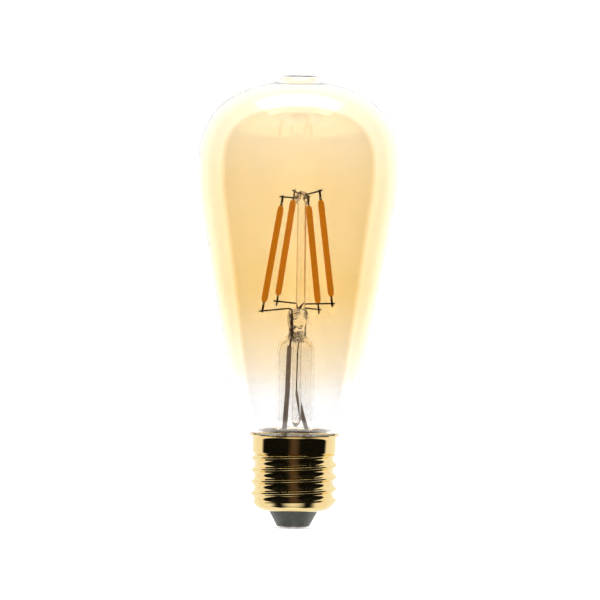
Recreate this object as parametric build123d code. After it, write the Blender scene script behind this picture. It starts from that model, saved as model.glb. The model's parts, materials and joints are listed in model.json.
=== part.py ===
from build123d import *
from math import acos, atan2, cos, degrees, hypot, pi, radians, sin, sqrt
import os

# A squirrel-cage LED filament lamp on an E27 screw cap, with its driver and radio module inside the cap.
# Millimetres. Z runs up the lamp's axis, and Z = 0 is the face of the centre contact.
# X is to the viewer's right and Y is away from the viewer, so the front of the lamp faces -Y.

# ---- Screw cap: E27, a rolled thin-sheet shell ----
thread_pitch = 3.629
thread_root_radius = 12.1
thread_depth = 1.1
thread_crest_round = 0.5        # outside radius of the rolled crest
thread_start_height = 8.65      # height of the crest where it first passes +X
thread_fade = 1.9               # height over which the ridge fades out at either end
thread_sink = 0.05              # of the ridge's foot below the root, so that the two fuse
ridge_gap = 0.24                # of plain root between two turns of the ridge
shell_sheet = 0.3
shell_floor_height = 5.2        # underside of the shell, round the insulator
shell_mouth_radius = 7.5        # hole in the shell's floor
shell_bowl_height = 2.9         # height of the rounded foot below the thread
skirt_swell = 0.7               # how far the plain band above the thread stands out from the root
skirt_bottom = 23.4
skirt_step = 0.7                # height of the slope between thread and skirt
skirt_top = 27.3
lip_flare_radius = 1.2          # outside radius of the flared lip

# ---- Insulator and centre contact ----
contact_proud = 0.6
contact_face_radius = 3.9
contact_head_radius = 4.4
contact_shank_radius = 0.9
contact_shank_top = 9.0
insulator_tip_radius = 5.0
insulator_plug_height = 1.6     # inside the shell, above its floor

# ---- Glass envelope ----
lamp_length = 139.4
glass_wall = 0.8
glass_radius = 30.7             # widest, near the crown
tip_rise = 2.5                  # of the crown's tip over the oval that the crown follows
crown_rise = 25.8               # of that oval over the widest place
crown_fullness = 2.4            # exponent of the crown's rounded outline, 2 is an ellipse
crown_steps = 8                 # spans of the crown's spline
tip_foot_radius = 8.6
tip_radius = 6.4
side_round = 80.0               # gentle curve from the widest place into the flank
shoulder_round = 6.2
shoulder_middle = 12.1          # radius at which the shoulder round is centred
shoulder_height = 35.0          # height of the same centre
neck_round = 2.4
neck_clearance = 0.5            # between the neck and the inside of the shell
neck_bottom = 18.5

# ---- Glass stem: flare, tube, domed end and pinch ----
stem_radius = 5.8
stem_wall = 0.9
stem_top = 60.0
flare_top = 27.5
flare_rim_width = 1.0
dome_height = 6.0
dome_crown_wall = 1.5
mount_shift = 0.4               # of the exhaust tube, the pinch and the lower wires to +X
post_shift = 1.3                # of the post and the bead to +X
pinch_turn = 62.0               # degrees from +X of the row of wires in the pinch
pinch_sink = 4.0                # of the pinch's foot below the dome's top, and cut to it
pinch_waist_rise = 1.0          # over the dome's top
pinch_belly_rise = 4.4
pinch_rise = 7.3
pinch_width = 8.6
pinch_thickness = 5.6
exhaust_radius = 1.5
exhaust_wall = 0.4
exhaust_tip_height = 30.5
exhaust_tip_length = 3.2
exhaust_hole_drop = 0.8         # below the dome's top
exhaust_hole_radius = 0.6
post_radius = 1.4
post_socket = 1.8               # depth of the post's foot in the pinch
bead_radius = 2.35
bead_foot_width = 0.5           # of the bead's foot round the post
bead_height = 3.9
bead_drop = 2.1                 # of the bead's foot below the front filaments' upper wires

# ---- Filaments ----
filament_names = ("rear_right", "rear_left", "front_left", "front_right")
coating_length = 30.0
coating_radius = 0.97
coating_taper = 2.2
coating_end_radius = 0.5
strip_width = 0.8
strip_thickness = 0.3
strip_inset = 1.5               # from the coating's end to the strip's end
tab_width = 0.7
tab_thickness = 0.2
tab_reach = 3.3                 # out of the coating
tab_hole_radius = 0.18
tab_hole_place = 0.7            # from the coating's end
lower_weld_places = (2.3, 1.9, 2.8, 2.0)    # from each coating's lower end to its wire
upper_weld_place = 2.8
chip_count = 20                 # on each strip
chip_margin = 1.0               # from the strip's end to the middle of its first chip
chip_length = 0.7
chip_width = 0.4
chip_thickness = 0.12
cage_bottom_radius = 12.0
cage_top_radius = 6.5
cage_top_shift = 0.9            # of the cage's top to +X
cage_bottom_turn = 30.8         # degrees from +X of the rear right filament's lower end
cage_top_turn = 21.4
cage_rise = 3.9                 # of the rear filaments' coatings over the pinch
front_drop = 1.75               # how much lower the two front filaments are mounted

# ---- Wires ----
wire_radius = 0.25
lead_wire_radius = 0.3
wire_bite = 0.1                 # how deep a wire is welded into a tab
wire_past_tab = 1.1
front_wire_bend = 1.2
rear_wire_bend = 1.8
bead_wire_bend = 0.4
left_lead_offset = 3.4          # from the pinch's middle along its row of wires, towards the front
right_lead_offset = 2.5         # towards the rear
link_offset = 3.1               # of the lower link's loop, towards the rear
link_half_gap = 0.45
front_knee_rise = 0.3           # of the front wires' knees over the pinch
rear_knee_rise = 1.5            # of the rear wires' knees over the pinch
bead_wire_reach = 1.0           # of the bends inside the bead, from its axis
weld_drop = 6.8                 # of the lead welds below the dome's top
weld_radius = 0.5
sleeve_radius = 0.7
sleeve_bottom = 14.0
sleeve_clearance = 0.1          # between a sleeve and the stem's wall
left_sleeve_drop = 4.1          # of the sleeve's upper end below the dome's top
right_sleeve_drop = 18.2
lead_bend = 3.0
upper_turn_drop = 5.0           # of the leads' upper and lower turns below the dome's top
lower_turn_drop = 18.0
foot_turn_rise = 1.5            # of their last turn over the top of the flare
left_lead_turns = (233.0, 225.0, 223.0)     # degrees from +X at those three turns
right_lead_turns = (77.0, 83.0, 12.0)

# ---- Driver in the cap ----
board_clearance = 0.4           # round the board's edge, filled by the glue
board_thickness = 1.0
board_height = 11.0             # underside
wire_below_board = 0.5
radio_clearance = 0.4           # from the radio board's sides to the stem's bore
radio_height = 12.2
radio_board_thickness = 0.8
shield_thickness = 0.9
shield_height = 6.4
shield_margin = 0.7             # from the shield's sides to the radio board's
shield_lift = 1.6               # above the main board
antenna_size = (0.8, 5.2, 1.3)
antenna_drop = 0.6              # from the radio board's top edge
pin_count = 5
pin_side = 0.5
pin_pitch = 1.5
pin_rise = 1.2
capacitor_radius = 3.0
capacitor_height = 4.9
capacitor_round = 0.35
capacitor_groove = (0.2, 0.3)   # width and depth of the cross in the can's top
capacitor_turn = 219.5          # degrees from +X
capacitor_margin = 0.2          # from the skin to the board's edge
sleeve_skin = 0.15
choke_flange_radius = 2.6
choke_core_radius = 1.3
choke_winding_radius = 2.3
choke_height = 4.4
choke_flange = 0.7
choke_turn = 320.0
choke_margin = 0.7
bridge_size = (4.8, 4.0, 1.5)
bridge_turn = 133.5
bridge_leg_spacing = 2.5
driver_chip_size = (4.9, 3.9, 1.5)
driver_chip_turn = 47.5
driver_chip_leg_spacing = 1.27
chip_setback = 3.2              # of the two chips' middles from the board's edge
leg_reach = 0.7
leg_width = 0.4
leg_thickness = 0.2
resistor_radius = 0.85
resistor_length = 4.6
resistor_setback = 3.0          # of its middle from the board's edge
resistor_wire_radius = 0.2
resistor_wire_reach = 0.9
live_wire_radius = 0.3
live_wire_place = 2.6           # of its hole in the board from the axis, towards -X
live_wire_rise = 0.4            # over the board
neutral_wire_radius = 0.18
neutral_turn = 2.0              # degrees from +X
neutral_top = 25.4
neutral_setback = 1.6           # of its hole from the board's edge
solder_radius = 0.55
cement_rise = 0.8               # over the top of the skirt

# ---- Worked out from the values above ----
thread_crest_radius = thread_root_radius + thread_depth
skirt_radius = thread_root_radius + skirt_swell
shell_foot = shell_floor_height + shell_bowl_height
shell_inside_radius = thread_root_radius - shell_sheet
skirt_inside_radius = skirt_radius - shell_sheet
lip_radius = skirt_radius + lip_flare_radius
neck_radius = shell_inside_radius - neck_clearance
glass_widest_height = lamp_length - tip_rise - crown_rise
flare_rim_radius = neck_radius - flare_rim_width
dome_bottom = stem_top - dome_height
dome_inside_top = stem_top - dome_crown_wall
pinch_top = stem_top + pinch_rise
seal_top = pinch_top - post_socket
exhaust_hole_height = stem_top - exhaust_hole_drop
weld_height = stem_top - weld_drop
lead_lane = (exhaust_radius + stem_radius - stem_wall) / 2
lead_ring = stem_radius - stem_wall - sleeve_radius - sleeve_clearance
cage_height = pinch_top + cage_rise
radio_width = 2 * (stem_radius - stem_wall - radio_clearance)
shield_size = (shield_thickness, radio_width - 2 * shield_margin, shield_height)
board_radius = shell_inside_radius - board_clearance
board_top = board_height + board_thickness
wire_end = board_height - wire_below_board


def turned(*lines):
    """A solid turned about Z from lines drawn as (radius, height); a straight line closes the outline."""
    edges = [edge for line in lines for edge in line.edges()]
    outline = Wire(edges)
    if not outline.is_closed:
        outline = Wire([*edges, Line(outline @ 1, outline @ 0)])
    return revolve(Plane.XZ * Face(outline), Axis.Z)


def round_corner(start, corner, end):
    """A quarter of an oval from start to end, which it leaves and meets in line with the corner."""
    oval_share = 0.5523
    start, corner, end = Vector(*start), Vector(*corner), Vector(*end)
    return Bezier(start, start + (corner - start) * oval_share, end + (corner - end) * oval_share, end)


def polar(radius, turn, height):
    return Vector(radius * cos(radians(turn)), radius * sin(radians(turn)), height)


def rod(points, radius, bend):
    """A round wire along straight runs joined by arcs of the bend radius."""
    path = FilletPolyline(*points, radius=bend) if len(points) > 2 else Line(*points)
    start = Plane(origin=path @ 0, z_dir=path % 0)
    return sweep(start * Circle(radius), path=path)


def disc(radius, low, high):
    return Pos(0, 0, low) * Cylinder(radius, high - low, align=(Align.CENTER, Align.CENTER, Align.MIN))


def block(size, place, low):
    base = (Align.CENTER, Align.CENTER, Align.MIN)
    return Pos(place[0], place[1], low) * Box(*size, align=base)


# ---- Screw cap ----
def thread_ridge(inset):
    """The rolled ridge, moved in by inset; its foot is sunk a little below the root, to fuse cleanly."""
    root = thread_root_radius - inset
    crest = thread_crest_radius - inset
    crest_round = thread_crest_round - inset
    low = root - thread_sink
    foot = (thread_pitch - ridge_gap) / 2
    crest_share = 0.8
    shoulder = crest_round * crest_share
    shoulder_depth = sqrt(crest_round**2 - shoulder**2)
    shoulder_drop = crest_round - shoulder_depth
    lean = shoulder / shoulder_depth
    foot_lean = 0.22
    top = (crest - shoulder_drop, shoulder)
    bottom = (crest - shoulder_drop, -shoulder)
    crest_arc = ThreePointArc(bottom, (crest, 0), top)
    high_side = Spline(top, (low, foot), tangents=[(-lean, 1), (-foot_lean, 1)])
    low_side = Spline((low, -foot), bottom, tangents=[(foot_lean, 1), (lean, 1)])
    foot_line = Line((low, foot), (low, -foot))
    profile = Face(Wire([crest_arc, high_side, foot_line, low_side]))
    lead_in = 0.6
    start = thread_start_height - lead_in * thread_pitch
    climb = skirt_bottom + lead_in * thread_pitch - start
    helix = Helix(pitch=thread_pitch, height=climb, radius=root)
    ridge = sweep(Plane.XZ * profile, path=helix, is_frenet=True)
    return Pos(0, 0, start) * Rot(0, 0, -lead_in * 360) * ridge


def thread_limits(inset):
    """The band that the ridge may fill: it fades out at the foot and under the skirt."""
    root = thread_root_radius - inset
    crest = thread_crest_radius - inset
    spare = 0.3
    low = shell_foot - thread_fade / 2
    return turned(
        Polyline(
            (root - spare, low),
            (root, low),
            (crest + spare, low + thread_fade),
            (crest + spare, skirt_bottom - thread_fade / 2),
            (root, skirt_bottom - skirt_step / 2),
            (root - spare, skirt_bottom - skirt_step / 2),
        )
    )


def shell_body(inset):
    """The cap without its thread, filled to the axis, with every face moved in by inset."""
    root = thread_root_radius - inset
    skirt = skirt_radius - inset
    flare = lip_flare_radius + inset
    floor = shell_floor_height + inset
    top = skirt_top + lip_flare_radius + shell_sheet + inset
    return turned(
        Line((0, floor), (shell_mouth_radius, floor)),
        round_corner((shell_mouth_radius, floor), (root, floor), (root, shell_foot)),
        Polyline((root, shell_foot), (root, skirt_bottom - skirt_step), (skirt, skirt_bottom)),
        Line((skirt, skirt_bottom), (skirt, skirt_top)),
        CenterArc((lip_radius, skirt_top), flare, 180, -90),
        Polyline((lip_radius, skirt_top + flare), (lip_radius, top), (0, top)),
    )


def make_screw_shell():
    outside = shell_body(0) + (thread_ridge(0) & thread_limits(0))
    inside = shell_body(shell_sheet) + (thread_ridge(shell_sheet) & thread_limits(shell_sheet))
    return outside - inside - disc(shell_mouth_radius, 0, shell_foot)


def make_centre_contact():
    head = turned(
        Polyline((0, 0), (contact_face_radius, 0), (contact_head_radius, contact_proud), (0, contact_proud))
    )
    return head + disc(contact_shank_radius, contact_proud, contact_shank_top)


def make_insulator(contact):
    plug_top = shell_floor_height + shell_sheet + insulator_plug_height
    cone = turned(
        Polyline(
            (0, contact_proud),
            (insulator_tip_radius, contact_proud),
            (shell_mouth_radius, shell_floor_height),
            (shell_mouth_radius, plug_top),
            (0, plug_top),
        )
    )
    plug = shell_body(shell_sheet) & disc(thread_root_radius, shell_floor_height, plug_top)
    return cone + plug - contact


# ---- Glass envelope ----
def crown_point(share, inset):
    """A point of the crown's rounded outline; share runs from 0 at the widest place to 1 on the axis."""
    angle = share * pi / 2
    power = 2 / crown_fullness
    radius = (glass_radius - inset) * cos(angle) ** power
    return (radius, glass_widest_height + (crown_rise - inset) * sin(angle) ** power)


def flank_angle():
    """Degrees from the axis of the straight flank that runs from the side's round to the shoulder's."""
    across = glass_radius - side_round - shoulder_middle
    up = glass_widest_height - shoulder_height
    return degrees(acos((shoulder_round - side_round) / hypot(across, up)) - atan2(up, across))


def envelope_body(inset):
    """The envelope filled to the axis, with its outline moved in by inset."""
    foot_radius = tip_foot_radius - inset
    foot_share = 2 / pi * acos((foot_radius / (glass_radius - inset)) ** (crown_fullness / 2))
    crown_points = [crown_point(foot_share * (1 - n / crown_steps), inset) for n in range(crown_steps + 1)]
    crown_fall = Vector(*crown_points[1]) - Vector(*crown_points[0])
    foot_slope = (1, crown_fall.Y / crown_fall.X * 0.6)
    tip = Spline(
        (0, lamp_length - inset),
        (tip_radius * 0.72 - inset * 0.2, lamp_length - tip_rise * 0.26 - inset),
        (tip_radius - inset * 0.7, lamp_length - tip_rise * 0.76 - inset),
        crown_points[0],
        tangents=[(1, 0), foot_slope],
    )
    crown = Spline(*crown_points, tangents=[foot_slope, (0, -1)])
    flank = flank_angle()
    side = CenterArc((glass_radius - side_round, glass_widest_height), side_round - inset, 0, -flank)
    neck_middle = neck_radius + neck_round
    reach = shoulder_round + neck_round
    swing = acos((neck_middle - shoulder_middle) / reach)
    neck_top = shoulder_height - reach * sin(swing)
    turn = degrees(swing)
    shoulder = CenterArc((shoulder_middle, shoulder_height), shoulder_round - inset, -flank, flank - turn)
    neck_bend = CenterArc((neck_middle, neck_top), neck_round + inset, 180 - turn, turn)
    bottom = neck_bottom - inset
    neck = Polyline(neck_bend @ 1, (neck_radius - inset, bottom), (0, bottom))
    return turned(tip, crown, side, Line(side @ 1, shoulder @ 0), shoulder, neck_bend, neck)


def make_cement(envelope_space):
    ring = disc(lip_radius, skirt_bottom, skirt_top + cement_rise) & shell_body(shell_sheet)
    return ring - envelope_space


# ---- Glass stem ----
def stem_body(inset):
    """The stem filled to the axis from the flare's rim to its domed end, moved in by inset."""
    radius = stem_radius - inset
    dome_top = stem_top - inset * dome_crown_wall / stem_wall
    rim = neck_bottom - inset
    return turned(
        round_corner((0, dome_top), (radius, dome_top), (radius, dome_bottom)),
        Line((radius, dome_bottom), (radius, flare_top)),
        round_corner((radius, flare_top), (radius, rim), (flare_rim_radius, rim)),
        Polyline((flare_rim_radius, rim), (neck_radius, rim), (neck_radius, 0), (0, 0)),
    )


def make_stem_tube():
    under_rim = disc(neck_radius + 1, 0, neck_bottom - stem_wall)
    tube = stem_body(0) - stem_body(stem_wall) - under_rim
    bore = Pos(mount_shift, 0, 0) * disc(exhaust_hole_radius, dome_bottom, exhaust_hole_height)
    side_way = Pos(mount_shift, 0, exhaust_hole_height) * Rot(0, 0, pinch_turn + 90) * Rot(0, 80, 0)
    side_hole = Cylinder(exhaust_hole_radius, stem_radius, align=(Align.CENTER, Align.CENTER, Align.MIN))
    return tube - bore - side_way * side_hole


def make_pinch():
    """The flattened glass over the dome, a loft of ovals set along the row of wires."""
    steps = (
        (stem_top - pinch_sink, 0.92, 1.35),
        (stem_top + pinch_waist_rise, 0.84, 0.84),
        (stem_top + pinch_belly_rise, 1.0, 1.0),
        (pinch_top - 0.9, 0.97, 1.0),
        (pinch_top, 0.8, 0.86),
    )
    sections = []
    for height, along, across in steps:
        oval = Ellipse(pinch_width / 2 * along, pinch_thickness / 2 * across)
        sections.append(Pos(mount_shift, 0, height) * Rot(0, 0, pinch_turn) * oval)
    return loft(sections)


def make_exhaust_tube():
    tip = exhaust_tip_height
    top = exhaust_hole_height
    shoulder = tip + exhaust_tip_length
    bore = exhaust_radius - exhaust_wall
    outside = turned(
        Spline((0, tip), (exhaust_radius, shoulder), tangents=[(1, 0.5), (0, 1)]),
        Polyline((exhaust_radius, shoulder), (exhaust_radius, top), (0, top)),
    )
    inside = turned(
        Spline((0, tip + 2 * exhaust_wall), (bore, shoulder), tangents=[(1, 0.5), (0, 1)]),
        Polyline((bore, shoulder), (bore, top), (0, top)),
    )
    return Pos(mount_shift, 0, 0) * (outside - inside)


def bead_bottom():
    """The bead's foot hangs below the wires of the front filaments."""
    return tab_weld_point(filament_names.index("front_left"), True).Z - bead_drop


def make_post():
    return Pos(post_shift, 0, 0) * disc(post_radius, pinch_top - post_socket, bead_bottom())


def make_bead():
    foot = post_radius + bead_foot_width
    low = bead_bottom()
    bead = turned(
        Line((0, low), (foot, low)),
        Spline(
            (foot, low),
            (bead_radius, low + bead_height * 0.45),
            (0, low + bead_height),
            tangents=[(1, 1), (-1, 0)],
        ),
    )
    return Pos(post_shift, 0, 0) * bead


# ---- Filaments ----
def filament_ends(number):
    """The lower and upper ends of a filament's coating."""
    drop = front_drop if "front" in filament_names[number] else 0
    low = polar(cage_bottom_radius, cage_bottom_turn + 90 * number, cage_height - drop)
    low += Vector(mount_shift, 0, 0)
    high = polar(cage_top_radius, cage_top_turn + 90 * number, 0) + Vector(cage_top_shift, 0, 0)
    rise = sqrt(coating_length**2 - hypot(high.X - low.X, high.Y - low.Y) ** 2)
    return low, Vector(high.X, high.Y, low.Z + rise)


def filament_frame(number):
    """A plane at the coating's lower end, its normal along the filament and its X out from the axis."""
    low, high = filament_ends(number)
    return Plane(origin=low, x_dir=polar(1, cage_bottom_turn + 90 * number, 0), z_dir=high - low)


def tab_weld_point(number, upper):
    """The wire's centre where it crosses a tab, beside the tab's face."""
    along = coating_length + upper_weld_place if upper else -lower_weld_places[number]
    beside = tab_thickness / 2 + wire_radius - wire_bite
    return filament_frame(number).from_local_coords(Vector(0, beside, along))


def make_strip():
    length = coating_length - 2 * strip_inset
    return Pos(0, 0, coating_length / 2) * Box(strip_width, strip_thickness, length)


def make_chips():
    first = strip_inset + chip_margin
    step = (coating_length - 2 * first) / (chip_count - 1)
    level = (strip_thickness + chip_thickness) / 2
    chip = Box(chip_width, chip_thickness, chip_length)
    return [Pos(0, level, first + step * n) * chip for n in range(chip_count)]


def make_tab(upper):
    """One end tab: a flat strip from the ceramic strip's end out of the coating, with a small hole."""
    length = strip_inset + tab_reach
    tab = Pos(0, 0, strip_inset - length / 2) * Box(tab_width, tab_thickness, length)
    tab -= Pos(0, 0, -tab_hole_place) * Rot(90, 0, 0) * Cylinder(tab_hole_radius, tab_thickness * 2)
    if upper:
        return Pos(0, 0, coating_length) * Rot(180, 0, 0) * tab
    return tab


def make_coating(inner_pieces):
    body = turned(
        Polyline((0, 0), (coating_end_radius, 0)),
        Spline((coating_end_radius, 0), (coating_radius, coating_taper), tangents=[(1, 0.9), (0, 1)]),
        Line((coating_radius, coating_taper), (coating_radius, coating_length - coating_taper)),
        Spline(
            (coating_radius, coating_length - coating_taper),
            (coating_end_radius, coating_length),
            tangents=[(0, 1), (-1, 0.9)],
        ),
        Line((coating_end_radius, coating_length), (0, coating_length)),
    )
    for piece in inner_pieces:
        body -= piece
    return body


# ---- Wires ----
def past_tab(weld, towards):
    """The free end of a wire that crosses a tab at weld on its way from towards."""
    return weld + (weld - towards).normalized() * wire_past_tab


def row_point(offset, beside, height):
    """A place in the pinch, along its row of wires and beside it."""
    return Vector(mount_shift, 0, 0) + polar(offset, pinch_turn, height) + polar(beside, pinch_turn + 90, 0)


def make_inner_lead(number, offset, knee_rise, bend):
    knee = row_point(offset, 0, pinch_top + knee_rise)
    end = past_tab(tab_weld_point(number, False), knee)
    return rod([end, knee, row_point(offset, 0, seal_top)], wire_radius, bend)


def make_lower_link(rear, front):
    """The wire from the rear left filament to the front right one, held by its loop in the pinch."""
    rear_knee = row_point(link_offset, link_half_gap, pinch_top + rear_knee_rise)
    front_knee = row_point(link_offset, -link_half_gap, pinch_top + front_knee_rise)
    points = [
        past_tab(tab_weld_point(rear, False), rear_knee),
        rear_knee,
        row_point(link_offset, link_half_gap, seal_top),
        row_point(link_offset, -link_half_gap, seal_top),
        front_knee,
        past_tab(tab_weld_point(front, False), front_knee),
    ]
    tight = link_half_gap * 0.9
    return rod(points, wire_radius, [rear_wire_bend, tight, tight, front_wire_bend])


def make_upper_link(front, rear):
    """The wire that joins two neighbouring filaments through the bead."""
    front_weld = tab_weld_point(front, True)
    rear_weld = tab_weld_point(rear, True)
    low_share = 0.45
    high_share = 0.72
    front_turn = cage_top_turn + 90 * front
    rear_turn = cage_top_turn + 90 * rear
    middle = Vector(post_shift, 0, bead_bottom())
    front_bend = middle + polar(bead_wire_reach, front_turn, bead_height * low_share)
    rear_bend = middle + polar(bead_wire_reach, rear_turn, bead_height * high_share)
    points = [past_tab(front_weld, front_bend), front_bend, rear_bend, past_tab(rear_weld, rear_bend)]
    return rod(points, wire_radius, bead_wire_bend)


def lead_foot(turns):
    """Where a lead stands on the driver board: straight below its last turn, close to the stem's wall."""
    return polar(lead_ring, turns[2], wire_end)


def lead_route(offset, turns):
    """The route of one lead from the pinch down through the stem to below the driver board."""
    return [
        row_point(offset, 0, seal_top),
        row_point(offset, 0, dome_inside_top),
        polar(lead_lane, turns[0], stem_top - upper_turn_drop),
        polar(lead_lane, turns[1], stem_top - lower_turn_drop),
        polar(lead_ring, turns[2], flare_top + foot_turn_rise),
        lead_foot(turns),
    ]


def route_between(route, top, bottom):
    """The stretch of a falling route between two heights."""

    def at(height):
        for start, end in zip(route, route[1:]):
            if start.Z >= height >= end.Z:
                return start + (end - start) * ((start.Z - height) / (start.Z - end.Z))
        return route[-1]

    inner = [point for point in route if bottom < point.Z < top]
    return [at(top), *inner, at(bottom)]


# ---- Driver in the cap ----
def make_legs(size, place, spacing, count):
    """Two rows of flat legs, on the left and the right of a chip's body."""
    legs = []
    for side in (-1, 1):
        x = place[0] + side * (size[0] / 2 + leg_reach / 2)
        for n in range(count):
            y = place[1] + spacing * (n - (count - 1) / 2)
            legs.append(block((leg_reach, leg_width, leg_thickness), (x, y), board_top))
    return legs


def make_pins():
    first = -pin_pitch * (pin_count - 1) / 2
    height = board_top + pin_rise - wire_end
    size = (pin_side, pin_side, height)
    return [block(size, (0, first + pin_pitch * n), wire_end) for n in range(pin_count)]


def make_capacitor():
    spot = polar(board_radius - capacitor_margin - capacitor_radius, capacitor_turn, board_top)
    base = (Align.CENTER, Align.CENTER, Align.MIN)
    can = Cylinder(capacitor_radius - sleeve_skin, capacitor_height, align=base)
    can = fillet(can.edges().group_by(Axis.Z)[-1], capacitor_round)
    width, depth = capacitor_groove
    for turn in (0, 90):
        can -= Pos(0, 0, capacitor_height) * Rot(0, 0, turn) * Box(capacitor_radius * 1.3, width, depth)
    skin = Cylinder(capacitor_radius, capacitor_height - capacitor_round, align=base) - can
    return Pos(spot) * can, Pos(spot) * skin


def make_choke():
    spot = polar(board_radius - choke_margin - choke_flange_radius, choke_turn, board_top)
    high = choke_height - choke_flange
    drum = disc(choke_flange_radius, 0, choke_flange) + disc(choke_core_radius, 0, choke_height)
    drum += disc(choke_flange_radius, high, choke_height)
    winding = disc(choke_winding_radius, choke_flange, high) - disc(choke_core_radius, 0, choke_height)
    return Pos(spot) * drum, Pos(spot) * winding


def resistor_holes():
    """The places of the resistor's two holes in the board."""
    reach = resistor_length / 2 + resistor_wire_reach
    return [Vector(side * reach, resistor_setback - board_radius, 0) for side in (-1, 1)]


def make_resistor():
    level = board_top + resistor_radius
    y = resistor_setback - board_radius
    body = Pos(0, y, level) * Rot(0, 90, 0) * Cylinder(resistor_radius, resistor_length)
    wires = []
    for side, hole in zip((-1, 1), resistor_holes()):
        points = [(side * resistor_length / 2, y, level), (hole.X, y, level), (hole.X, y, wire_end)]
        wires.append(rod(points, resistor_wire_radius, 0.4))
    return body, wires


def make_live_wire():
    x = -live_wire_place
    turn_height = (contact_shank_top + board_height) / 2
    points = [
        (0, 0, contact_shank_top),
        (0, 0, turn_height),
        (x, 0, turn_height),
        (x, 0, board_top + live_wire_rise),
    ]
    return rod(points, live_wire_radius, 0.45)


def neutral_hole():
    return polar(board_radius - neutral_setback, neutral_turn, wire_end)


def make_neutral_wire():
    """From the board's edge up past the neck, and out to the skirt inside the cement."""
    hole = neutral_hole()
    gap = polar((neck_radius + shell_inside_radius) / 2, neutral_turn, 0)
    skirt = polar(skirt_inside_radius - neutral_wire_radius, neutral_turn, 0)
    points = [
        hole,
        Vector(hole.X, hole.Y, board_top + 1.2),
        Vector(gap.X, gap.Y, board_top + 3.4),
        Vector(gap.X, gap.Y, skirt_bottom - 1.0),
        Vector(skirt.X, skirt.Y, skirt_bottom + 0.6),
        Vector(skirt.X, skirt.Y, neutral_top),
    ]
    return rod(points, neutral_wire_radius, 0.5)


def make_solder(places):
    """A cone of solder under the board round each wire's end."""
    height = wire_below_board * 0.8
    cone = Cone(solder_radius * 0.6, solder_radius, height, align=(Align.CENTER, Align.CENTER, Align.MAX))
    return [Pos(place.X, place.Y, board_height) * cone for place in places]


def cut_all(piece, *tools):
    """A piece, or each piece of a list, without the space that the tools fill."""
    if isinstance(piece, list):
        return [cut_all(item, *tools) for item in piece]
    for tool in tools:
        if isinstance(tool, list):
            piece = cut_all(piece, *tool)
        else:
            piece = piece - tool
    return piece


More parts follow.
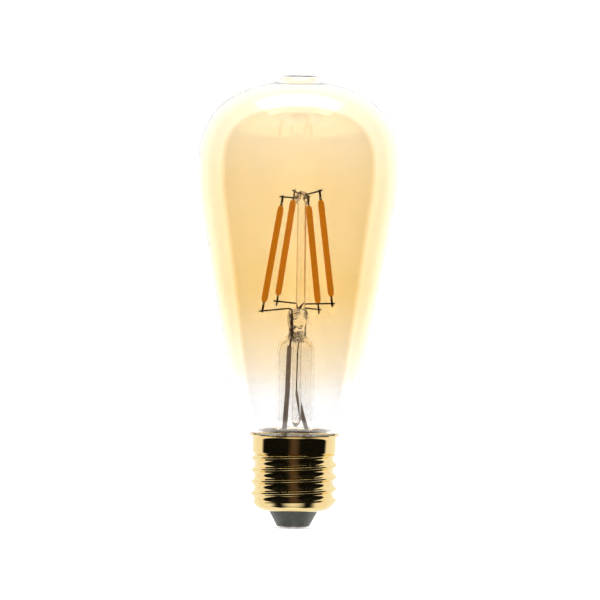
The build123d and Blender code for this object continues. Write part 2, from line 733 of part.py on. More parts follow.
def build_lamp():
    nodes = {}

    contact = make_centre_contact()
    nodes["screw_shell"] = make_screw_shell()
    nodes["centre_contact"] = contact
    nodes["insulator"] = make_insulator(contact)

    envelope = envelope_body(0)
    nodes["glass_envelope"] = envelope - envelope_body(glass_wall)
    neutral = make_neutral_wire()
    nodes["neutral_wire"] = neutral
    nodes["basing_cement"] = make_cement(envelope) - neutral

    inner_leads = {
        "left_inner_lead": make_inner_lead(2, -left_lead_offset, front_knee_rise, front_wire_bend),
        "right_inner_lead": make_inner_lead(0, right_lead_offset, rear_knee_rise, rear_wire_bend),
    }
    lower_link = make_lower_link(1, 3)
    upper_links = {"left_upper_link": make_upper_link(2, 1), "right_upper_link": make_upper_link(3, 0)}
    nodes.update(inner_leads)
    nodes.update(upper_links)
    nodes["lower_link"] = lower_link

    left_route = lead_route(-left_lead_offset, left_lead_turns)
    right_route = lead_route(right_lead_offset, right_lead_turns)
    left_seal = rod(route_between(left_route, seal_top, weld_height), lead_wire_radius, lead_bend)
    right_seal = rod(route_between(right_route, seal_top, weld_height), lead_wire_radius, lead_bend)
    left_lead = rod(route_between(left_route, weld_height, wire_end), lead_wire_radius, lead_bend)
    right_lead = rod(route_between(right_route, weld_height, wire_end), lead_wire_radius, lead_bend)
    nodes["seal_wires"] = [left_seal, right_seal]
    nodes["left_lead_wire"] = left_lead
    nodes["right_lead_wire"] = right_lead
    lead_wires = [left_seal, right_seal, left_lead, right_lead]
    knots = [
        Pos(route_between(route, weld_height, wire_end)[0]) * Sphere(weld_radius)
        for route in (left_route, right_route)
    ]
    nodes["lead_welds"] = cut_all(knots, lead_wires)
    left_run = route_between(left_route, stem_top - left_sleeve_drop, sleeve_bottom)
    right_run = route_between(right_route, stem_top - right_sleeve_drop, sleeve_bottom)
    left_sleeve = rod(left_run, sleeve_radius, lead_bend)
    right_sleeve = rod(right_run, sleeve_radius, lead_bend)
    nodes["left_sleeve"] = cut_all(left_sleeve, knots, lead_wires)
    nodes["right_sleeve"] = cut_all(right_sleeve, lead_wires)

    stem = cut_all(make_stem_tube(), lead_wires)
    nodes["stem_tube"] = stem
    nodes["exhaust_tube"] = make_exhaust_tube() - (stem_body(0) - stem_body(stem_wall))
    post = make_post()
    nodes["support_post"] = post
    nodes["top_bead"] = cut_all(make_bead(), *upper_links.values())
    pinch = make_pinch() - stem_body(0) - post
    nodes["stem_pinch"] = cut_all(pinch, lower_link, *inner_leads.values(), lead_wires)

    wires = [lower_link, *inner_leads.values(), *upper_links.values()]
    strip = make_strip()
    chips = make_chips()
    tabs = [make_tab(False), make_tab(True)]
    coating = make_coating([strip, *chips, *tabs])
    for number, name in enumerate(filament_names):
        place = filament_frame(number).location
        nodes[f"{name}_filament_coating"] = place * coating
        nodes[f"{name}_filament_strip"] = place * strip
        nodes[f"{name}_filament_chips"] = [place * chip for chip in chips]
        nodes[f"{name}_filament_tabs"] = cut_all([place * tab for tab in tabs], wires)

    pins = make_pins()
    nodes["radio_pins"] = pins
    radio = block((radio_board_thickness, radio_width, radio_height), (0, 0), board_top)
    nodes["radio_board"] = cut_all(radio, pins)
    face = radio_board_thickness / 2
    nodes["radio_shield"] = block(shield_size, (face + shield_size[0] / 2, 0), board_top + shield_lift)
    antenna_low = board_top + radio_height - antenna_drop - antenna_size[2]
    nodes["radio_antenna"] = block(antenna_size, (face + antenna_size[0] / 2, 0), antenna_low)
    nodes["capacitor_can"], nodes["capacitor_skin"] = make_capacitor()
    nodes["choke_core"], nodes["choke_winding"] = make_choke()
    bridge = polar(board_radius - chip_setback, bridge_turn, 0)
    bridge_place = (bridge.X, bridge.Y)
    nodes["bridge_rectifier"] = block(bridge_size, bridge_place, board_top)
    nodes["bridge_legs"] = make_legs(bridge_size, bridge_place, bridge_leg_spacing, 2)
    chip = polar(board_radius - chip_setback, driver_chip_turn, 0)
    chip_place = (chip.X, chip.Y)
    nodes["driver_chip"] = block(driver_chip_size, chip_place, board_top)
    nodes["driver_chip_legs"] = make_legs(driver_chip_size, chip_place, driver_chip_leg_spacing, 3)
    resistor, resistor_wires = make_resistor()
    nodes["fuse_resistor"] = resistor
    nodes["fuse_resistor_wires"] = resistor_wires
    live = make_live_wire()
    nodes["live_wire"] = live

    through = [left_lead, right_lead, live, neutral, *pins, *resistor_wires]
    board = disc(board_radius, board_height, board_top)
    nodes["driver_board"] = cut_all(board, through)
    nodes["board_glue"] = disc(shell_inside_radius, board_height, board_top) - board
    joints = [lead_foot(left_lead_turns), lead_foot(right_lead_turns), neutral_hole(), *resistor_holes()]
    nodes["solder_joints"] = cut_all(make_solder(joints), through)
    return nodes


os.makedirs("parts", exist_ok=True)
for name, shape in build_lamp().items():
    solids = shape if isinstance(shape, list) else [shape]
    solids = [solid for item in solids for solid in item.solids()]
    node = Compound(label=name, children=solids) if len(solids) > 1 else solids[0]
    export_step(node, f"parts/{name}.step")
    print(name, len(solids), "solid(s)", round(sum(solid.volume for solid in solids), 2), "mm3")
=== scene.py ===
import bpy
import json
from math import acos, cos, degrees, pi, radians, sin
from mathutils import Matrix, Vector


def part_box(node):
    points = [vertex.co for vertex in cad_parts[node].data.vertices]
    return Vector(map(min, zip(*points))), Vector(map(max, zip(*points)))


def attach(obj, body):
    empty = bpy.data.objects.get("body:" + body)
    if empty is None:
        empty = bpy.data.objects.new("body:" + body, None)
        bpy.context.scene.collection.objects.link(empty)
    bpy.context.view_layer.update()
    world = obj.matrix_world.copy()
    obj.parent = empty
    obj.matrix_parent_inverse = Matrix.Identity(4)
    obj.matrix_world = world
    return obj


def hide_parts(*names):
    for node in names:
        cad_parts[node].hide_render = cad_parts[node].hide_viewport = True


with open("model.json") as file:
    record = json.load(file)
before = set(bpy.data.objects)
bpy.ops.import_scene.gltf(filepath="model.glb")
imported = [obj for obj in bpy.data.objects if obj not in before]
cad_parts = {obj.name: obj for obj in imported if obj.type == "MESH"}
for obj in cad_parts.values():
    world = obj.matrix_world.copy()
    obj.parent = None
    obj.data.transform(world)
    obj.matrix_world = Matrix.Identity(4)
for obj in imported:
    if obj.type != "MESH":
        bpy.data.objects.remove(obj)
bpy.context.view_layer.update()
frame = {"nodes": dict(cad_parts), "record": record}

# Squirrel-cage filament lamp: looks built round the CAD frame.
# Metres, +Z up the lamp's axis, front towards -Y.


class Sock:
    # wraps a node's output so that shader maths reads as arithmetic
    def __init__(self, tree, out):
        self.tree = tree
        self.out = out

    def maths(self, operation, *values):
        return addNode(self.tree, "ShaderNodeMath", {"operation": operation}, values)

    def __add__(self, other):
        return self.maths("ADD", self, other)

    def __radd__(self, other):
        return self.maths("ADD", other, self)

    def __sub__(self, other):
        return self.maths("SUBTRACT", self, other)

    def __rsub__(self, other):
        return self.maths("SUBTRACT", other, self)

    def __mul__(self, other):
        return self.maths("MULTIPLY", self, other)

    def __rmul__(self, other):
        return self.maths("MULTIPLY", other, self)

    def __truediv__(self, other):
        return self.maths("DIVIDE", self, other)

    def other(self, name):
        # another output of the same node
        return Sock(self.tree, self.out.node.outputs[name])

    def clamp(self):
        return self.maths("MAXIMUM", self.maths("MINIMUM", self, 1.0), 0.0)

    def absolute(self):
        return self.maths("ABSOLUTE", self)


def addNode(tree, nodeType, settings=None, values=(), output=0):
    # one way to add any node: its settings first, then its sockets' values or links, by order or by name
    node = tree.nodes.new(nodeType)
    for name, value in (settings or {}).items():
        if name == "stops":
            ramp = node.color_ramp
            while len(ramp.elements) < len(value):
                ramp.elements.new(0.5)
            for element, (place, colour) in zip(ramp.elements, value):
                element.position = place
                element.color = (*colour, 1.0)
        else:
            setattr(node, name, value)
    pairs = values.items() if isinstance(values, dict) else enumerate(values)
    for key, value in pairs:
        if isinstance(value, Sock):
            tree.links.new(value.out, node.inputs[key])
        else:
            node.inputs[key].default_value = value
    return Sock(tree, node.outputs[output]) if node.outputs else None


def newMaterial(name):
    material = bpy.data.materials.new(name)
    material.use_nodes = True
    tree = material.node_tree
    tree.nodes.clear()
    return material, tree


def finishShader(tree, surface):
    addNode(tree, "ShaderNodeOutputMaterial", values={"Surface": surface})


def objectPlace(tree, scale=(1.0, 1.0, 1.0), turn=(0.0, 0.0, 0.0)):
    # the point's own place in metres, turned and stretched for a pattern
    coords = addNode(tree, "ShaderNodeTexCoord", output="Object")
    values = {"Vector": coords, "Scale": scale, "Rotation": turn}
    return addNode(tree, "ShaderNodeMapping", {"vector_type": "POINT"}, values)


def noiseAt(tree, place, scale, detail=3.0, rough=0.55):
    values = {"Vector": place, "Scale": scale, "Detail": detail, "Roughness": rough}
    return addNode(tree, "ShaderNodeTexNoise", values=values)


def mixColours(tree, share, first, second):
    node = {"data_type": "RGBA", "clamp_factor": True}
    # inputs 0, 6 and 7 are the factor and the two colours of a colour mix; output 2 is its colour
    return addNode(tree, "ShaderNodeMix", node, {0: share, 6: first, 7: second}, output=2)


def bumpFrom(tree, height, distance, strength=1.0):
    values = {"Height": height, "Distance": distance, "Strength": strength}
    return addNode(tree, "ShaderNodeBump", values=values)


def rampOver(tree, value, stops):
    return addNode(tree, "ShaderNodeValToRGB", {"stops": stops}, {"Fac": value})


# ---- World, floor, lights and camera ----
studio = {
    "cameraWhite": 1.04,
    "diffuseWhite": 1.35,
    "throughBack": 1.84,       # the white backdrop, seen through the glass
    "throughSide": 0.80,       # the dimmer walls beside it
    "mirrorBack": 0.98,        # the same two, seen in reflections
    "mirrorSide": 0.95,
    "ceilingWhite": 1.6,       # soft box over and behind the lamp
    "ceilingStart": 0.80,      # as the Z of a direction
    "ceilingFull": 0.95,
    "roomDark": 0.004,         # the unlit room in front of the lamp
    "roomEdge": 0.15,          # where the side walls start, as the Y of a direction
    "roomSoftness": 0.07,
    "roomSpread": 0.12,        # how far the side walls reach round, up and down
    "backEdge": 0.66,          # where the backdrop starts
    "backSoftness": 0.12,
    "wallColour": (1.0, 0.93, 0.94, 1.0),
    "floorGlow": 1.2,
    "floorMirrored": -0.93,    # where the floor starts, as the Z of a direction
    "floorPassed": -0.50,      # the same, seen through the glass
    "floorSoftness": 0.06,
    "dimStripColour": (0.075, 0.045, 0.034, 1.0),
    "dimStripStart": 0.08,     # as the X of a direction
    "dimStripEnd": 0.30,
    "floorSize": 60.0,
    "floorLift": 0.5,          # the floor's own glow, as its bright paper gives
    "softboxPlace": (0.0, 0.25, 1.3),
    "softboxAim": (0, 0, 0.07),
    "softboxSize": (1.2, 1.0),
    "softboxPower": 7.0,
    "cameraDistance": 2.0,
    "cameraElevation": 1.3,
    "cameraRoll": 0.89,        # degrees; the lamp leans this far to the right
    "aim": (0.00107, 0.0, 0.0700),
    "viewWidth": 0.1840,       # metres across the picture at the lamp
    "sensor": 36.0,
    "farClip": 200.0,
}


def makeWorld():
    world = bpy.data.worlds.new("studioWorld")
    bpy.context.scene.world = world
    world.use_nodes = True
    tree = world.node_tree
    tree.nodes.clear()
    way = addNode(tree, "ShaderNodeTexCoord", output="Generated")
    split = addNode(tree, "ShaderNodeSeparateXYZ", values=(way,))
    x, y, z = split.other("X"), split.other("Y"), split.other("Z")
    edge = studio["roomEdge"] - z * z * studio["roomSpread"]
    side = ((y - edge + studio["roomSoftness"]) / (2 * studio["roomSoftness"])).clamp()
    back = ((y - studio["backEdge"] + studio["backSoftness"]) / (2 * studio["backSoftness"])).clamp()
    ceiling = ((z - studio["ceilingStart"]) / (studio["ceilingFull"] - studio["ceilingStart"])).clamp()
    stripFade = studio["dimStripEnd"] - studio["dimStripStart"]
    strip = ((studio["dimStripEnd"] - x.absolute()) / stripFade).clamp()
    room = mixColours(tree, strip, (studio["roomDark"],) * 3 + (1.0,), studio["dimStripColour"])
    rays = addNode(tree, "ShaderNodeLightPath")
    through = rays.other("Is Transmission Ray")
    bent = (through + rays.other("Is Glossy Ray")).clamp()
    floorStart = studio["floorMirrored"] + through * (studio["floorPassed"] - studio["floorMirrored"])
    floor = ((floorStart - z) / studio["floorSoftness"]).clamp() * studio["floorGlow"]
    mirrored = studio["mirrorSide"] + back * (studio["mirrorBack"] - studio["mirrorSide"])
    mirrored = mirrored + ceiling * studio["ceilingWhite"]
    passed = studio["throughSide"] + back * (studio["throughBack"] - studio["throughSide"])
    white = (mirrored + (passed - mirrored) * through) * side + floor * (1.0 - side)
    dark = mixColours(tree, side, room, (0.0, 0.0, 0.0, 1.0))
    walls = mixColours(tree, back + floor, studio["wallColour"], (1.0, 1.0, 1.0, 1.0))
    seen = addNode(tree, "ShaderNodeVectorMath", {"operation": "MULTIPLY_ADD"}, (walls, white, dark))
    diffuse = rays.other("Is Diffuse Ray")
    plain = studio["cameraWhite"] + diffuse * (studio["diffuseWhite"] - studio["cameraWhite"])
    colour = mixColours(tree, bent, plain, seen)
    surface = addNode(tree, "ShaderNodeBackground", values={"Color": colour, "Strength": 1.0})
    addNode(tree, "ShaderNodeOutputWorld", values={"Surface": surface})


def makeFloor():
    half = studio["floorSize"] / 2
    mesh = bpy.data.meshes.new("floor")
    corners = [(-half, -half, 0), (half, -half, 0), (half, half, 0), (-half, half, 0)]
    mesh.from_pydata(corners, [], [(0, 1, 2, 3)])
    floor = bpy.data.objects.new("floor", mesh)
    bpy.context.scene.collection.objects.link(floor)
    material, tree = newMaterial("paleFloor")
    place = objectPlace(tree)
    cloud = noiseAt(tree, place, 6.0)
    colour = mixColours(tree, cloud, (0.97, 0.97, 0.97, 1.0), (0.985, 0.985, 0.985, 1.0))
    values = {
        "Base Color": colour,
        "Roughness": 0.9,
        "Emission Color": (1.0, 1.0, 1.0, 1.0),
        "Emission Strength": studio["floorLift"],
    }
    finishShader(tree, addNode(tree, "ShaderNodeBsdfPrincipled", values=values))
    mesh.materials.append(material)
    floor.visible_glossy = False
    floor.visible_transmission = False


def makeSoftbox():
    data = bpy.data.lights.new("topSoftbox", "AREA")
    data.shape = "RECTANGLE"
    data.size, data.size_y = studio["softboxSize"]
    data.energy = studio["softboxPower"]
    light = bpy.data.objects.new("topSoftbox", data)
    place, aim = Vector(studio["softboxPlace"]), Vector(studio["softboxAim"])
    light.location = place
    light.rotation_euler = (aim - place).to_track_quat("-Z", "Y").to_euler()
    bpy.context.scene.collection.objects.link(light)
    light.visible_glossy = False


def makeCamera():
    data = bpy.data.cameras.new("camera")
    camera = bpy.data.objects.new("camera", data)
    bpy.context.scene.collection.objects.link(camera)
    aim = Vector(studio["aim"])
    rise = radians(studio["cameraElevation"])
    camera.location = aim + Vector((0, -cos(rise), sin(rise))) * studio["cameraDistance"]
    look = (aim - camera.location).to_track_quat("-Z", "Y").to_matrix().to_4x4()
    roll = Matrix.Rotation(radians(studio["cameraRoll"]), 4, "Z")
    camera.matrix_world = Matrix.Translation(camera.location) @ look @ roll
    data.sensor_width = studio["sensor"]
    data.lens = studio["sensor"] * studio["cameraDistance"] / studio["viewWidth"]
    data.clip_end = studio["farClip"]
    bpy.context.scene.camera = camera


makeWorld()
makeFloor()
makeSoftbox()
makeCamera()
view = bpy.context.scene.view_settings
view.view_transform = "Standard"
cycles = bpy.context.scene.cycles
cycles.max_bounces = 40
cycles.transmission_bounces = 32
cycles.glossy_bounces = 8
print("studio ready")


# ---- Materials ----
def makeAmberGlass():
    # amber lustre on clear glass, strongest above the middle and gone towards the neck
    tint = {
        "full": (0.955, 0.775, 0.470, 1.0),
        "stops": [
            # how far up the tinted stretch, and how strong the tint is there
            (0.000, (0.00,) * 3), (0.045, (0.12,) * 3), (0.10, (0.42,) * 3), (0.195, (0.68,) * 3),
            (0.27, (0.86,) * 3), (0.35, (1.00,) * 3), (0.50, (0.90,) * 3), (0.68, (0.84,) * 3),
            (0.83, (0.64,) * 3), (1.00, (0.50,) * 3),
        ],
        "low": 0.038,
        "high": 0.139,
        "streakDepth": 0.08,
        "blotchLow": 0.93,
        "blotchDepth": 0.14,
    }
    material, tree = newMaterial("amberGlass")
    place = objectPlace(tree)
    split = addNode(tree, "ShaderNodeSeparateXYZ", values=(place,))
    height = split.other("Z")
    streaks = noiseAt(tree, objectPlace(tree, (1.0, 1.0, 0.35)), 45.0, 4.0)
    rise = (height - tint["low"]) / (tint["high"] - tint["low"])
    level = (rise + (streaks - 0.5) * tint["streakDepth"]).clamp()
    amount = rampOver(tree, level, tint["stops"])
    blotches = noiseAt(tree, place, 90.0, 5.0)
    share = (amount * (tint["blotchLow"] + blotches * tint["blotchDepth"])).clamp()
    colour = mixColours(tree, share, (1.0, 1.0, 1.0, 1.0), tint["full"])
    ripple = noiseAt(tree, objectPlace(tree, (1.0, 1.0, 0.5)), 40.0, 1.0)
    surface = addNode(
        tree,
        "ShaderNodeBsdfPrincipled",
        values={
            "Base Color": colour,
            "Roughness": 0.0,
            "IOR": 1.5,
            "Transmission Weight": 1.0,
            "Coat Weight": 1.0,
            "Coat IOR": 2.0,
            "Coat Roughness": 0.0,
            "Normal": bumpFrom(tree, ripple, 0.0002, 0.4),
        },
    )
    finishShader(tree, surface)
    return material


def makeClearGlass(name, tint, waviness):
    material, tree = newMaterial(name)
    ripple = noiseAt(tree, objectPlace(tree), 260.0, 3.0)
    colour = mixColours(tree, noiseAt(tree, objectPlace(tree), 120.0), tint, (1.0, 1.0, 1.0, 1.0))
    values = {
        "Base Color": colour,
        "Roughness": 0.0,
        "IOR": 1.52,
        "Transmission Weight": 1.0,
        "Normal": bumpFrom(tree, ripple, waviness, 1.0),
    }
    finishShader(tree, addNode(tree, "ShaderNodeBsdfPrincipled", values=values))
    return material


def makeMetal(name, colour, stain, roughness, grain, bump=0.00001):
    # drawn or rolled metal: a stain in random patches, uneven gloss and fine grain
    material, tree = newMaterial(name)
    place = objectPlace(tree)
    cloud = noiseAt(tree, place, grain * 0.3, 4.0)
    fine = noiseAt(tree, place, grain * 2.0, 5.0)
    base = mixColours(tree, ((cloud - 0.45) * 2.2).clamp(), colour, stain)
    values = {
        "Base Color": base,
        "Metallic": 1.0,
        "Roughness": (roughness + (fine - 0.5) * roughness * 0.8).clamp(),
        "Normal": bumpFrom(tree, fine, bump, 1.0),
    }
    finishShader(tree, addNode(tree, "ShaderNodeBsdfPrincipled", values=values))
    return material


def makeSolid(name, colour, stain, roughness, grain, bump, coat=0.0, paintedGlow=None, shine=0.5):
    # a plain moulded, fired or cured material with mottling, uneven gloss and a fine skin
    material, tree = newMaterial(name)
    place = objectPlace(tree)
    cloud = noiseAt(tree, place, grain * 0.25, 4.0)
    fine = noiseAt(tree, place, grain, 6.0)
    base = mixColours(tree, ((cloud - 0.4) * 2.5).clamp(), colour, stain)
    values = {
        "Base Color": base,
        "Roughness": (roughness + (fine - 0.5) * 0.2).clamp(),
        "Specular IOR Level": shine,
        "Coat Weight": coat,
        "Normal": bumpFrom(tree, fine, bump, 1.0),
    }
    if paintedGlow:
        # painted glow: a uniform emission standing in for light from behind that soaks through
        values["Emission Color"] = paintedGlow[0]
        values["Emission Strength"] = paintedGlow[1]
    finishShader(tree, addNode(tree, "ShaderNodeBsdfPrincipled", values=values))
    return material


finishes = {
    "amber_glass": makeAmberGlass(),
    "clear_glass": makeClearGlass("stemGlass", (0.985, 0.975, 0.955, 1.0), 0.000004),
    "cap_metal": makeMetal(
        "rolledBrass",
        (0.98, 0.80, 0.37, 1.0),
        (0.95, 0.74, 0.31, 1.0),
        0.09,
        900.0,
        0.000001,
    ),
    "contact_metal": makeMetal(
        "tinnedContact",
        (0.72, 0.70, 0.66, 1.0),
        (0.55, 0.52, 0.46, 1.0),
        0.3,
        1500.0,
    ),
    "insulator": makeSolid(
        "greyInsulator",
        (0.062, 0.066, 0.058, 1.0),
        (0.095, 0.100, 0.088, 1.0),
        0.30,
        2500.0,
        0.00001,
    ),
    "lead_metal": makeMetal(
        "oxidisedLead",
        (0.085, 0.045, 0.030, 1.0),
        (0.03, 0.02, 0.018, 1.0),
        0.42,
        2500.0,
    ),
    "cement": makeSolid(
        "basingCement",
        (0.46, 0.34, 0.15, 1.0),
        (0.06, 0.04, 0.018, 1.0),
        0.8,
        4200.0,
        0.0003,
    ),
    "nickel_wire": makeMetal(
        "nickelWire",
        (0.10, 0.075, 0.050, 1.0),
        (0.035, 0.027, 0.02, 1.0),
        0.30,
        2500.0,
    ),
    "woven_sleeve": makeSolid(
        "wovenSleeve",
        (0.50, 0.39, 0.32, 1.0),
        (0.32, 0.24, 0.19, 1.0),
        0.75,
        3500.0,
        0.00008,
        # painted glow: a faint emission of the sleeve's own colour, standing in for light falling on it
        paintedGlow=((0.46, 0.35, 0.28, 1.0), 0.28),
        shine=0.2,
    ),
    "pin_metal": makeMetal("platedPin", (0.90, 0.72, 0.36, 1.0), (0.80, 0.60, 0.30, 1.0), 0.2, 1500.0),
    "board": makeSolid(
        "solderMask",
        (0.02, 0.14, 0.06, 1.0),
        (0.03, 0.18, 0.08, 1.0),
        0.35,
        1500.0,
        0.00001,
        0.4,
    ),
    "shield_metal": makeMetal("tinnedShield", (0.72, 0.72, 0.70, 1.0), (0.60, 0.60, 0.58, 1.0), 0.3, 1200.0),
    "antenna_ceramic": makeSolid(
        "antennaCeramic",
        (0.80, 0.80, 0.78, 1.0),
        (0.70, 0.70, 0.68, 1.0),
        0.4,
        2000.0,
        0.00001,
    ),
    "can_metal": makeMetal("capacitorCan", (0.80, 0.80, 0.81, 1.0), (0.70, 0.70, 0.71, 1.0), 0.25, 1500.0),
    "capacitor_skin": makeSolid(
        "shrunkFilm",
        (0.02, 0.03, 0.07, 1.0),
        (0.03, 0.04, 0.09, 1.0),
        0.3,
        1500.0,
        0.00001,
        0.3,
    ),
    "ferrite": makeSolid("ferrite", (0.06, 0.06, 0.065, 1.0), (0.09, 0.09, 0.09, 1.0), 0.5, 3000.0, 0.00002),
    "copper": makeMetal(
        "enamelledCopper",
        (0.80, 0.36, 0.16, 1.0),
        (0.62, 0.26, 0.10, 1.0),
        0.25,
        3000.0,
        0.00003,
    ),
    "chip_plastic": makeSolid(
        "chipEpoxy",
        (0.02, 0.02, 0.02, 1.0),
        (0.03, 0.03, 0.03, 1.0),
        0.6,
        3500.0,
        0.00002,
    ),
    "leg_metal": makeMetal("tinnedLeg", (0.74, 0.74, 0.72, 1.0), (0.62, 0.62, 0.60, 1.0), 0.3, 2500.0),
    "resistor_coat": makeSolid(
        "resistorLacquer",
        (0.16, 0.28, 0.36, 1.0),
        (0.20, 0.33, 0.40, 1.0),
        0.4,
        2500.0,
        0.00003,
    ),
    "glue": makeSolid("siliconeGlue", (0.82, 0.81, 0.76, 1.0), (0.74, 0.73, 0.68, 1.0), 0.5, 900.0, 0.00005),
    "solder": makeMetal("brightSolder", (0.72, 0.72, 0.72, 1.0), (0.60, 0.60, 0.60, 1.0), 0.2, 1500.0),
    "phosphor": makeSolid(
        "phosphorSilicone",
        (0.80, 0.27, 0.020, 1.0),
        (0.72, 0.215, 0.010, 1.0),
        0.45,
        1600.0,
        0.00004,
        # painted glow: an orange emission standing in for backlight through the translucent coating; the lamp is
        # off
        paintedGlow=((0.62, 0.235, 0.012, 1.0), 0.82),
        shine=0.1,
    ),
    "strip_ceramic": makeSolid(
        "stripCeramic",
        (0.80, 0.76, 0.66, 1.0),
        (0.74, 0.70, 0.60, 1.0),
        0.5,
        2500.0,
        0.00001,
    ),
    "led_chip": makeSolid(
        "ledChip",
        (0.35, 0.42, 0.50, 1.0),
        (0.45, 0.50, 0.55, 1.0),
        0.2,
        2500.0,
        0.00001,
        1.0,
    ),
}
slotOf = {part["node"]: part["material_slot"] for part in frame["record"]["subparts"]}
for name, node in frame["nodes"].items():
    node.data.materials.clear()
    node.data.materials.append(finishes[slotOf[name]])
print("materials on", len(frame["nodes"]), "nodes")


# ---- Modelling helpers ----
def startPiece(name):
    # a new mesh object in edit mode, holding one selected point at the origin
    bpy.ops.object.select_all(action="DESELECT")
    bpy.ops.mesh.primitive_plane_add(size=0.001, location=(0, 0, 0))
    piece = bpy.context.active_object
    piece.name = name
    piece.data.name = name
    bpy.ops.object.mode_set(mode="EDIT")
    bpy.ops.mesh.select_all(action="SELECT")
    bpy.ops.mesh.merge(type="CENTER")
    return piece


def spinOutline(outline, steps):
    # turns an outline of (radius, height) points about Z into a closed skin
    last = Vector((0, 0, 0))
    for number, (radius, height) in enumerate(outline):
        point = Vector((radius, 0, height))
        if number == 0:
            bpy.ops.transform.translate(value=point)
        else:
            bpy.ops.mesh.extrude_region_move(TRANSFORM_OT_translate={"value": point - last})
        last = point
    bpy.ops.mesh.select_all(action="SELECT")
    bpy.ops.mesh.spin(steps=steps, angle=2 * pi, center=(0, 0, 0), axis=(0, 0, 1))
    bpy.ops.mesh.select_all(action="SELECT")
    bpy.ops.mesh.remove_doubles(threshold=0.000002)
    bpy.ops.mesh.normals_make_consistent(inside=False)


def addBubble(place, size, turn=0.0):
    # a closed hollow in the glass, its skin facing into the hollow
    bpy.ops.mesh.select_all(action="DESELECT")
    bpy.ops.mesh.primitive_uv_sphere_add(segments=28, ring_count=18, radius=1.0, location=place)
    bpy.ops.transform.resize(value=size, center_override=place)
    bpy.ops.transform.rotate(value=turn, orient_axis="Y", center_override=place)
    bpy.ops.mesh.normals_make_consistent(inside=False)
    bpy.ops.mesh.flip_normals()


def endPiece(piece, slotName, nodes, smoothAngle=40.0):
    bpy.ops.object.mode_set(mode="OBJECT")
    bpy.ops.object.shade_smooth_by_angle(angle=radians(smoothAngle))
    piece.data.materials.clear()
    piece.data.materials.append(finishes[slotName])
    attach(piece, "root")
    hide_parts(*nodes)
    print(piece.name, len(piece.data.polygons), "faces")


def lump(piece, scale, strength):
    # uneven, hand-worked glass
    bpy.ops.object.mode_set(mode="OBJECT")
    texture = bpy.data.textures.new(piece.name + "Lumps", "CLOUDS")
    texture.noise_scale = scale
    texture.noise_depth = 1
    modifier = piece.modifiers.new("lumps", "DISPLACE")
    modifier.texture = texture
    modifier.texture_coords = "LOCAL"
    modifier.strength = strength
    modifier.mid_level = 0.5
    bpy.ops.object.modifier_apply(modifier="lumps")
    bpy.ops.object.mode_set(mode="EDIT")


def arcPoints(centre, radius, start, end, count):
    turns = [radians(start + (end - start) * n / count) for n in range(count + 1)]
    return [(centre[0] + radius * cos(turn), centre[1] + radius * sin(turn)) for turn in turns]


def smoothRun(points, count):
    # a curve through the points between the first and the last, which only steer it
    run = []
    for before, start, end, after in zip(points, points[1:], points[2:], points[3:]):
        for n in range(count):
            t = n / count
            run.append(tuple(
                0.5 * (2 * b + (c - a) * t + (2 * a - 5 * b + 4 * c - d) * t * t + (3 * b - a - 3 * c + d) * t**3)
                for a, b, c, d in zip(before, start, end, after)
            ))
    return [*run, points[-2]]


# ---- Glass envelope ----
bulb = {
    "length": 0.1394,
    "wall": 0.0008,
    "radius": 0.0307,
    "widestHeight": 0.1111,
    "crownRise": 0.0258,
    "crownFullness": 2.4,
    "tipFoot": 0.0086,
    "sideRound": 0.080,
    "flankAngle": 10.1,
    "shoulderCentre": (0.0121, 0.035),
    "shoulderRound": 0.0062,
    "neckRound": 0.0024,
    "neckRadius": 0.0113,
    "neckBottom": 0.0185,
    "steps": 160,
}


def bulbOutline(inset):
    # from the tip down to the neck, moved in by inset
    power = 2 / bulb["crownFullness"]
    wide = bulb["radius"] - inset
    rise = bulb["crownRise"] - inset
    footAngle = acos(((bulb["tipFoot"] - inset) / wide) ** (1 / power))
    crown = []
    for n in range(31):
        angle = footAngle * (1 - n / 30)
        crown.append((wide * cos(angle) ** power, bulb["widestHeight"] + rise * sin(angle) ** power))
    top = bulb["length"] - inset
    tipSide = (0.0046 - inset * 0.2, top - 0.00065)
    steer = (-tipSide[0], tipSide[1])
    tipFoot = (0.0064 - inset * 0.7, top - 0.0019)
    tip = smoothRun([steer, (0.0, top), tipSide, tipFoot, crown[0], crown[1]], 5)
    sideMiddle = (bulb["radius"] - bulb["sideRound"], bulb["widestHeight"])
    side = arcPoints(sideMiddle, bulb["sideRound"] - inset, 0, -bulb["flankAngle"], 10)
    neckMiddle = bulb["neckRadius"] + bulb["neckRound"]
    reach = bulb["shoulderRound"] + bulb["neckRound"]
    swing = degrees(acos((neckMiddle - bulb["shoulderCentre"][0]) / reach))
    shoulderRadius = bulb["shoulderRound"] - inset
    shoulder = arcPoints(bulb["shoulderCentre"], shoulderRadius, -bulb["flankAngle"], -swing, 12)
    neckTop = bulb["shoulderCentre"][1] - reach * sin(radians(swing))
    bend = arcPoints((neckMiddle, neckTop), bulb["neckRound"] + inset, 180 - swing, 180, 10)
    start, end = Vector(side[-1]), Vector(shoulder[0])
    flank = [tuple(start + (end - start) * n / 12) for n in range(1, 12)]
    foot = (bulb["neckRadius"] - inset, bulb["neckBottom"])
    return [*tip[:-1], *crown, *side[1:], *flank, *shoulder, *bend[1:], foot]


envelope = startPiece("glassEnvelope")
spinOutline(bulbOutline(0.0) + bulbOutline(bulb["wall"])[::-1], bulb["steps"])
endPiece(envelope, "amber_glass", ["glass_envelope"], 30.0)


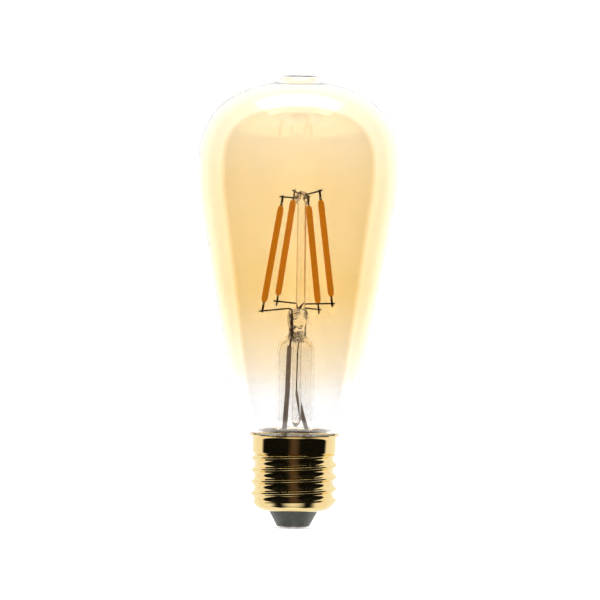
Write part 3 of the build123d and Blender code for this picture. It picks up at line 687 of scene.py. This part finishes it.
# ---- Screw shell: a copy with its facets joined and its smoothing evened ----
shellSkin = {
    "joinWithin": 0.000004,
    "smoothAngle": 50.0,
    "evenWeight": 60,          # how far large faces steer the smoothing
}
bpy.ops.object.select_all(action="DESELECT")
screwShell = frame["nodes"]["screw_shell"].copy()
screwShell.data = screwShell.data.copy()
screwShell.name = "screwShell"
bpy.context.scene.collection.objects.link(screwShell)
bpy.context.view_layer.objects.active = screwShell
screwShell.select_set(True)
bpy.ops.mesh.customdata_custom_splitnormals_clear()
bpy.ops.object.mode_set(mode="EDIT")
bpy.ops.mesh.select_all(action="SELECT")
bpy.ops.mesh.remove_doubles(threshold=shellSkin["joinWithin"])
bpy.ops.object.mode_set(mode="OBJECT")
bpy.ops.object.shade_smooth_by_angle(angle=radians(shellSkin["smoothAngle"]))
evening = screwShell.modifiers.new("evening", "WEIGHTED_NORMAL")
evening.weight = shellSkin["evenWeight"]
evening.keep_sharp = True
bpy.ops.object.modifier_apply(modifier="evening")
bpy.ops.object.mode_set(mode="EDIT")
endPiece(screwShell, "cap_metal", ["screw_shell"], shellSkin["smoothAngle"])


# ---- Bead at the top of the post ----
bead = {
    # radius and height of points on its skin
    "outline": [
        (0.0, -0.00195), (0.0015, -0.00195), (0.0019, -0.0018), (0.0022, -0.0010), (0.0023, -0.0002),
        (0.0020, 0.0008), (0.0014, 0.0015), (0.0007, 0.0019), (0.0, 0.00195),
    ],
    # place and radius of each
    "bubbles": [
        ((-0.0009, -0.0006, 0.0002), 0.00065),
        ((0.0009, -0.0007, -0.0006), 0.00075),
        ((0.0002, 0.0007, 0.0007), 0.00055),
        ((0.0001, -0.0010, 0.0009), 0.00040),
        ((-0.0010, 0.0008, -0.0008), 0.00050),
        ((0.0013, 0.0006, 0.0003), 0.00045),
    ],
    "bubbleStretch": 1.15,
    "bubbleTurn": 0.3,
    "lumpScale": 0.0016,
    "lumpDepth": 0.0004,
}
beadLow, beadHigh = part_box("top_bead")
beadCentre = (Vector(beadLow) + Vector(beadHigh)) / 2
topBead = startPiece("topBead")
spinOutline(smoothRun([(-0.001, -0.00195), *bead["outline"], (-0.0007, 0.0019)], 3), 48)
lump(topBead, bead["lumpScale"], bead["lumpDepth"])
bpy.ops.mesh.select_all(action="SELECT")
bpy.ops.transform.translate(value=beadCentre)
for place, size in bead["bubbles"]:
    addBubble(Vector(place) + beadCentre, (size, size, size * bead["bubbleStretch"]), bead["bubbleTurn"])
endPiece(topBead, "clear_glass", ["top_bead"], 60.0)


# ---- Pinch that holds the wires ----
pinch = {
    "centre": (0.0004, 0.0, 0.0),
    "turn": 62.0,
    "width": 0.0086,
    "thickness": 0.0056,
    # radius and height of points on its skin, before it is flattened
    "outline": [
        (0.0, 0.0575), (0.0030, 0.0575), (0.0036, 0.0590), (0.0035, 0.0606), (0.0036, 0.0618), (0.0041, 0.0634),
        (0.0043, 0.0648), (0.0041, 0.0662), (0.0034, 0.0671), (0.0018, 0.0673), (0.0, 0.0673),
    ],
    # place, radii and turn of each
    "bubbles": [
        ((-0.0009, -0.0010, 0.0650), (0.0007, 0.0007, 0.0012), -0.3),
        ((-0.0016, 0.0004, 0.0626), (0.0005, 0.0005, 0.0008), 0.5),
        ((0.0020, -0.0008, 0.0652), (0.0005, 0.0005, 0.0011), 0.2),
        ((0.0006, -0.0014, 0.0618), (0.0009, 0.0007, 0.0006), 0.7),
        ((0.0003, 0.0002, 0.0602), (0.0010, 0.0008, 0.0005), 0.0),
    ],
    "lumpScale": 0.0019,
    "lumpDepth": 0.0005,
}
stemPinch = startPiece("stemPinch")
spinOutline(smoothRun([(-0.003, 0.0575), *pinch["outline"], (-0.0018, 0.0673)], 4), 72)
bpy.ops.mesh.select_all(action="SELECT")
flatten = (1.0, pinch["thickness"] / pinch["width"], 1.0)
bpy.ops.transform.resize(value=flatten, center_override=(0, 0, 0))
bpy.ops.transform.rotate(value=radians(-pinch["turn"]), orient_axis="Z", center_override=(0, 0, 0))
bpy.ops.transform.translate(value=pinch["centre"])
lump(stemPinch, pinch["lumpScale"], pinch["lumpDepth"])
for place, size, turn in pinch["bubbles"]:
    addBubble(Vector(place) + Vector(pinch["centre"]), size, turn)
endPiece(stemPinch, "clear_glass", ["stem_pinch"], 60.0)
